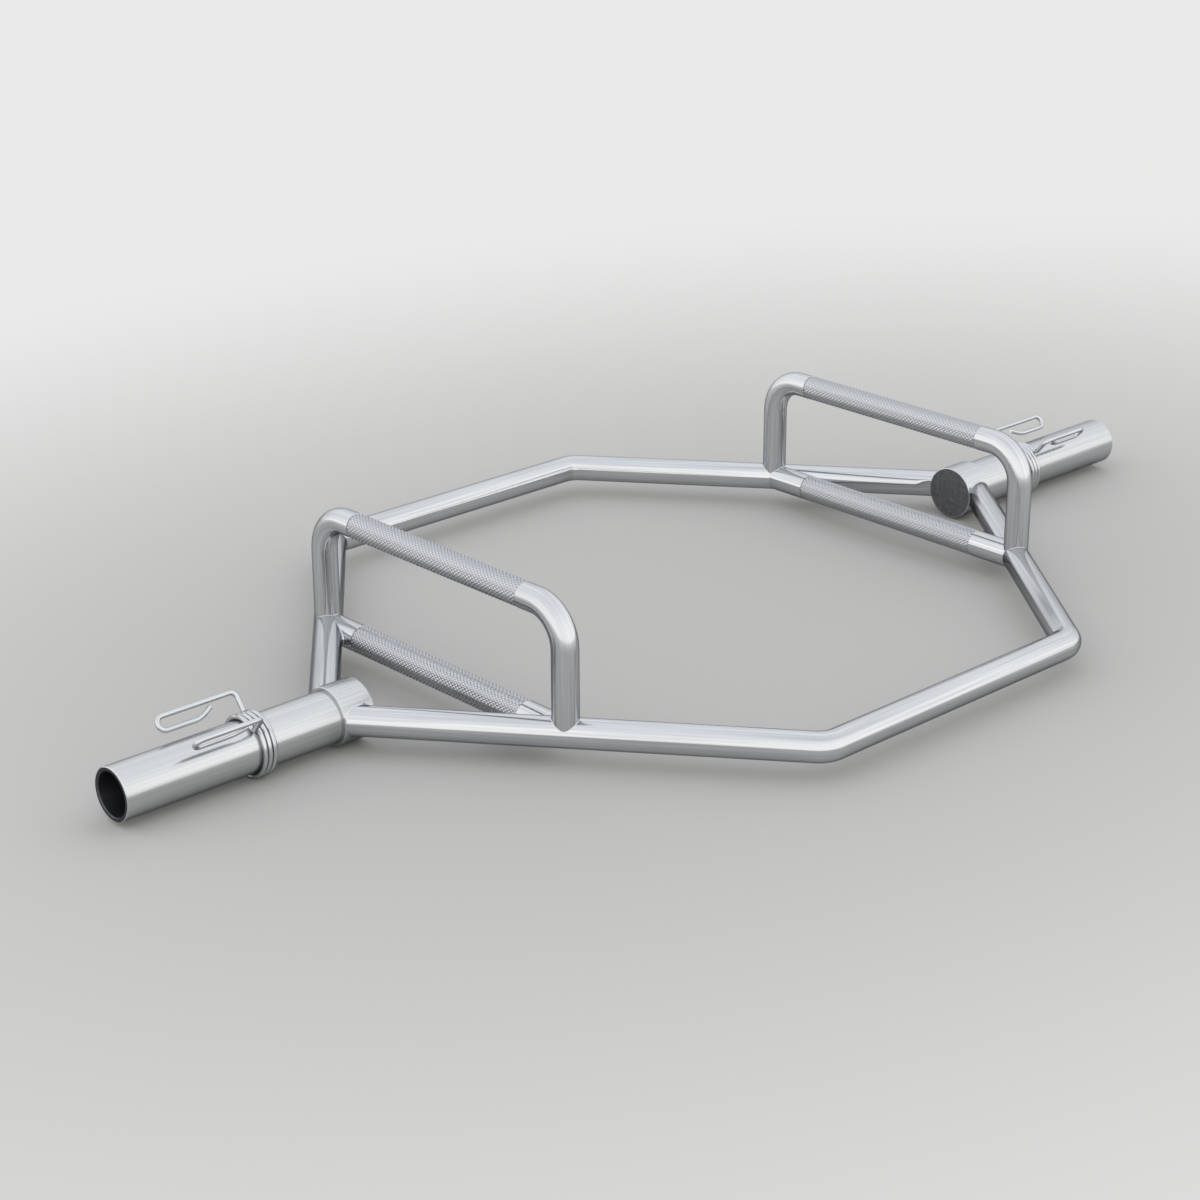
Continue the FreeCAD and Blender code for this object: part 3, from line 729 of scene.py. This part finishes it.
# %% [markdown]
# ## Sleeves, hubs, caps and clip arms
# These solids have their final shape, with the broken edges that catch the light, so modelling them again
# would add nothing and they only get a finish. The sleeves and hubs were turned, which draws a highlight out
# along them, and then brushed by hand, which left fine lines along X. It is the same plate as on the tubes,
# only rougher.

# %% Brushed sleeves and hubs
# Brushed plate blurs the room into soft, broad bands, with fine lines along the sleeve.
# The real lines are about 0.1 mm wide; they are drawn 1.5 mm wide.
BRUSHED_STREAK = (220.0, 1.5, 1.5)
BRUSHED_STRETCH = 0.4
BRUSHED = ("#BFC1C3", "#CDCFD0")
brushed_sleeve, brushed_hub = (
    plated_steel(name, BRUSHED, roughness=0.24, coordinates="Object",
                 streak_mm=BRUSHED_STREAK, stretch=BRUSHED_STRETCH)
    for name in ("brushed_chrome_sleeve", "brushed_chrome_hub"))
print("made", brushed_sleeve.name, "and", brushed_hub.name)

# %% [markdown]
# ## Bare steel
# The inside of a sleeve was never plated, and it is drawn nearly black: partly the bare steel's own colour,
# partly painted shade in the bore. The disc that closes a hub is plain rolled steel. Both belong to solids
# that are plated elsewhere. Painting faces one by one would be lost if the solid changed, so the material
# measures the distance from the bar's axis and leaves the plate off near it.

# %% Plate that stops at a radius
# The mottle of rolled steel is about 2 mm across; it is drawn 5 mm, so that it shows.
MOTTLE_MM = 5.0


def beyond_radius(tree, radius):
    """A mask that is 1 outside a radius in mm about the bar's axis, and 0 inside it."""
    where = add_node(tree, "ShaderNodeTexCoord").outputs["Object"]
    level = add_node(tree, "ShaderNodeVectorMath", {0: where, 1: (0, 0, AXIS_Z * MM)}, operation="SUBTRACT")
    flat = add_node(tree, "ShaderNodeVectorMath", {0: level.outputs[0], 1: (0, 1, 1)}, operation="MULTIPLY")
    reach = add_node(tree, "ShaderNodeVectorMath", {0: flat.outputs[0]}, operation="LENGTH")
    mask = add_node(tree, "ShaderNodeMath", {
        0: reach.outputs["Value"], 1: radius * MM}, operation="GREATER_THAN")
    return mask.outputs[0]


def plate_only_beyond(material, radius, bare_and_shade_colours, bare_roughness):
    """Leave the metal bare and dark inside a radius, mottled as rolled steel is; in a sleeve's bore the dark
    is partly painted shade.
    """
    tree = material.node_tree
    shader = tree.nodes["Principled BSDF"]
    mask = beyond_radius(tree, radius)
    where = add_node(tree, "ShaderNodeTexCoord").outputs["Object"]
    noise = add_node(tree, "ShaderNodeTexNoise", {
        "Vector": where, "Scale": 1000.0 / MOTTLE_MM, "Detail": 4.0})
    mottle = add_node(tree, "ShaderNodeMapRange", {"Value": noise.outputs["Fac"], **NOISE_MIDDLE})
    colours = [linear(colour) for colour in bare_and_shade_colours]
    for socket, pair, kind in (("Base Color", colours, "RGBA"), ("Roughness", bare_roughness, "FLOAT")):
        bare = add_node(tree, "ShaderNodeMix", {
            "Factor": mottle.outputs["Result"], "A": pair[0], "B": pair[1]}, data_type=kind)
        plated = shader.inputs[socket].links[0].from_socket
        mix = add_node(tree, "ShaderNodeMix", {
            "Factor": mask, "A": bare.outputs["Result"], "B": plated}, data_type=kind)
        tree.links.new(mix.outputs["Result"], shader.inputs[socket])


print("bare steel has a mottle of", MOTTLE_MM, "mm")

# %% Bare insides with painted shade, and caps
BARE_ROUGHNESS = (0.5, 0.4)
# Bare drawn steel inside the sleeve, made darker with painted shade, so that the open end reads as a deep
# hole.
BORE_BARE_AND_SHADED = ("#4C4D51", "#5E5F63")
SLEEVE_PLATED_FROM = 24.2
plate_only_beyond(brushed_sleeve, SLEEVE_PLATED_FROM, BORE_BARE_AND_SHADED, BARE_ROUGHNESS)
# A rolled disc with a plated rim: dull and mottled, so that the hub's end reads as closed.
ROLLED = ("#6C6D71", "#848588")
CAP_PLATED_FROM = 27.2
CAP_GRAIN = (3.0, 3.0, 3.0)
rolled_cap = plated_steel(
    "rolled_steel_cap", BRUSHED, roughness=0.25, coordinates="Object", streak_mm=CAP_GRAIN, stretch=0.0)
plate_only_beyond(rolled_cap, CAP_PLATED_FROM, ROLLED, BARE_ROUGHNESS)
print("made", rolled_cap.name)

# %% Arms of the clips
# The arms are the same bright wire as the coils. Their solids have no UV map, so the hairlines follow the
# bar and are drawn 1.5 mm wide.
ARM_STREAK = (40.0, 1.5, 1.5)
WIRE = ("#C2C4C7", "#D0D2D4")
drawn_arm = plated_steel(
    "bright_drawn_arm_wire", WIRE, roughness=0.2, coordinates="Object", streak_mm=ARM_STREAK, stretch=0.0)
print("made", drawn_arm.name)

# %% A finish for each solid
FINISHES = {"sleeve": brushed_sleeve, "hub": brushed_hub, "hub_cap": rolled_cap,
            "clip_rear_arm": drawn_arm, "clip_front_arm": drawn_arm}
for side, _ in SIDES:
    for part, material in FINISHES.items():
        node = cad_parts[f"{side}_{part}"]
        node.data.materials.clear()
        node.data.materials.append(material)
    print(side, "solids finished:", ", ".join(FINISHES))

# %% [markdown]
# ## Camera
# The camera stands where the photograph was taken from. Its place, its heading and its lens were worked out
# together from the outlines of the tubes, so that the solids fall on them to about half a pixel. The lens is
# long, and the bar looks nearly as it would from far away. It is given for a 36 mm sensor. From here on,
# places are in metres.

# %% Camera
SENSOR_MM, LENS_MM = 36.0, 79.186
CAMERA_PLACE = (-1.73794, -1.75013, 1.01754)
CAMERA_TURN = (67.9319, 0.2333, -42.9694)
camera_data = bpy.data.cameras.new("camera")
camera_data.sensor_width = SENSOR_MM
camera_data.lens = LENS_MM
camera = bpy.data.objects.new("camera", camera_data)
camera.location = CAMERA_PLACE
camera.rotation_euler = [math.radians(angle) for angle in CAMERA_TURN]
bpy.context.scene.collection.objects.link(camera)
bpy.context.scene.camera = camera
print("camera with a lens of", round(camera_data.lens, 1), "mm")

# %% [markdown]
# ## Floor
# The floor is one wide sheet of matt paper: pale all round, with a soft grey of painted shade under the bar.
# Chrome shows whatever lies below it, so this painted shade is what gives the tubes their darker undersides,
# while the picture as a whole stays light. A plain white sheet would be mirrored too, and would leave the
# tubes without a lower edge.

# %% Paper with painted shade under the bar
# Uncoated paper scatters light evenly and has no shine at all.
# The grey is a pool of painted shade under the bar; the pale is the paper's own colour.
SHADE_POOL_GREY, PALE = "#AFAEAC", "#D6D5D3"
# The painted shade is an oval with these half lengths in metres. It pales between these multiples of them.
SHADE_POOL_REACH = (0.75, 0.55, 1.0)
SHADE_POOL_START, SHADE_POOL_END = 0.4, 2.8
paper = bpy.data.materials.new("matt_paper_with_painted_shade")
paper.use_nodes = True
tree = paper.node_tree
shader = tree.nodes["Principled BSDF"]
shader.inputs["Roughness"].default_value = 0.9
shader.inputs["Specular IOR Level"].default_value = 0.0
where = add_node(tree, "ShaderNodeTexCoord").outputs["Object"]
scaled = add_node(tree, "ShaderNodeVectorMath", {0: where, 1: SHADE_POOL_REACH}, operation="DIVIDE")
reach = add_node(tree, "ShaderNodeVectorMath", {0: scaled.outputs[0]}, operation="LENGTH")
share = add_node(tree, "ShaderNodeMapRange", {
    "Value": reach.outputs["Value"], "From Min": SHADE_POOL_START, "From Max": SHADE_POOL_END},
    interpolation_type="SMOOTHSTEP")
painted_shade_grade = add_node(tree, "ShaderNodeMix", {
    "Factor": share.outputs["Result"], "A": linear(SHADE_POOL_GREY), "B": linear(PALE)}, data_type="RGBA")
tree.links.new(painted_shade_grade.outputs["Result"], shader.inputs["Base Color"])
print("made", paper.name)

# %% Floor
FLOOR_HALF = 30.0
corners = ((-1, -1), (1, -1), (1, 1), (-1, 1))
floor_mesh = bpy.data.meshes.new("floor")
floor_mesh.from_pydata([(x * FLOOR_HALF, y * FLOOR_HALF, 0) for x, y in corners], [], [(0, 1, 2, 3)])
floor_mesh.materials.append(paper)
floor = bpy.data.objects.new("floor", floor_mesh)
bpy.context.scene.collection.objects.link(floor)
print("floor", 2 * FLOOR_HALF, "m wide")

# %% [markdown]
# ## Light
# Chrome has hardly a colour of its own: its look is the room. Lamps would show in it as small bright spots,
# so the light comes from the whole sky instead, as in a studio with large soft boxes all round. It is
# brightest near the horizon on the camera's side and a little cooler overhead, which shades the tubes from
# top to bottom.

# %% Two skies
# The sky's colours from the horizon to overhead, on the camera's side of the room and on the far side.
NEAR_SKY = ((0.0, "#FDFCFA"), (0.5, "#FAFAF9"), (0.8, "#EBEDEF"), (1.0, "#DDE0E4"))
FAR_SKY = ((0.0, "#F6F6F6"), (0.5, "#EEEFF0"), (1.0, "#DDE0E4"))

world = bpy.data.worlds.new("studio")
bpy.context.scene.world = world
world.use_nodes = True
tree = world.node_tree
heading = add_node(tree, "ShaderNodeTexCoord").outputs["Generated"]
height = add_node(tree, "ShaderNodeSeparateXYZ", {"Vector": heading}).outputs["Z"]
skies = []
for stops in (FAR_SKY, NEAR_SKY):
    ramp = add_node(tree, "ShaderNodeValToRGB", {"Fac": height})
    while len(ramp.color_ramp.elements) < len(stops):
        ramp.color_ramp.elements.new(0.5)
    for element, (position, colour) in zip(ramp.color_ramp.elements, stops):
        element.position = position
        element.color = linear(colour)
    skies.append(ramp.outputs["Color"])
print("sky in", len(skies), "halves")

# %% Light
TOWARDS_CAMERA = (-0.705, -0.71, 0.0)
# One sky passes into the other between these two cosines of the angle to the camera's side.
FAR_FACING, NEAR_FACING = -0.5, 0.3
SKY_STRENGTH = 1.46

facing = add_node(tree, "ShaderNodeVectorMath", {0: heading, 1: TOWARDS_CAMERA}, operation="DOT_PRODUCT")
share = add_node(tree, "ShaderNodeMapRange", {
    "Value": facing.outputs["Value"], "From Min": FAR_FACING, "From Max": NEAR_FACING},
    interpolation_type="SMOOTHSTEP")
both = add_node(tree, "ShaderNodeMix", {
    "Factor": share.outputs["Result"], "A": skies[0], "B": skies[1]}, data_type="RGBA")
background = tree.nodes["Background"]
background.inputs["Strength"].default_value = SKY_STRENGTH
tree.links.new(both.outputs["Result"], background.inputs["Color"])
bpy.context.scene.view_settings.view_transform = "Standard"
print("sky at strength", SKY_STRENGTH)
